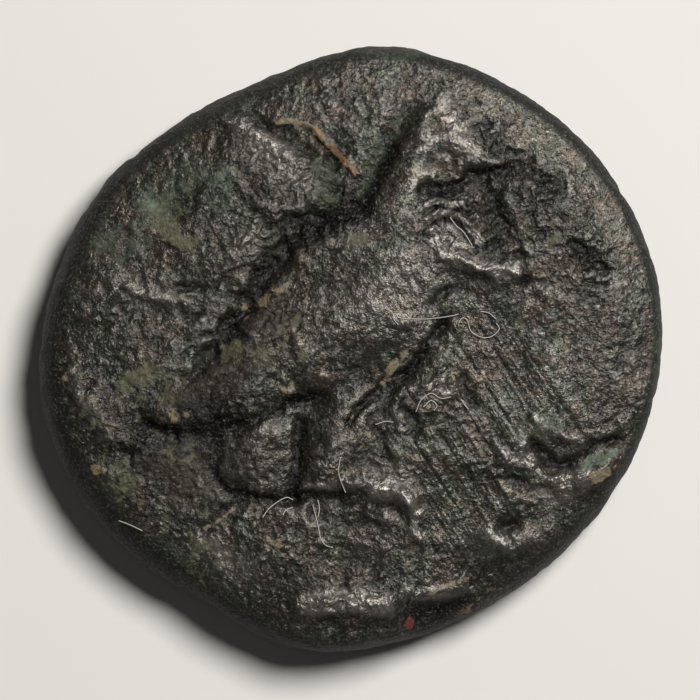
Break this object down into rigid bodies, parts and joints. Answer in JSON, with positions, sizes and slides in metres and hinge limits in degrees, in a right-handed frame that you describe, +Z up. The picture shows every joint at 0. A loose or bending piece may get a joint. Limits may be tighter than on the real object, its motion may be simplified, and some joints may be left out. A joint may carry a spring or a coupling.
{
  "type": "chalkous coin",
  "caption": "Small thick ancient bronze coin, worn and dark, with an eagle in low relief on its upper side.",
  "frame": {"origin": "under the middle of the coin, on the surface that it lies on", "axes": "+Z up, out of the eagle side; +Y towards the top of the eagle, +X to the side that its beak points to"},
  "size_m": [0.0125, 0.0122, 0.0023],
  "materials": {
    "dark_bronze": "Struck bronze with a worn, grainy, nearly black patina, semi-matt with a dull sheen on high places; green, ochre and brown spots of corrosion and dirt in the hollows."
  },
  "bodies": {
    "root": {"bronze_coin": "dark_bronze"}
  },
  "joints": []
}
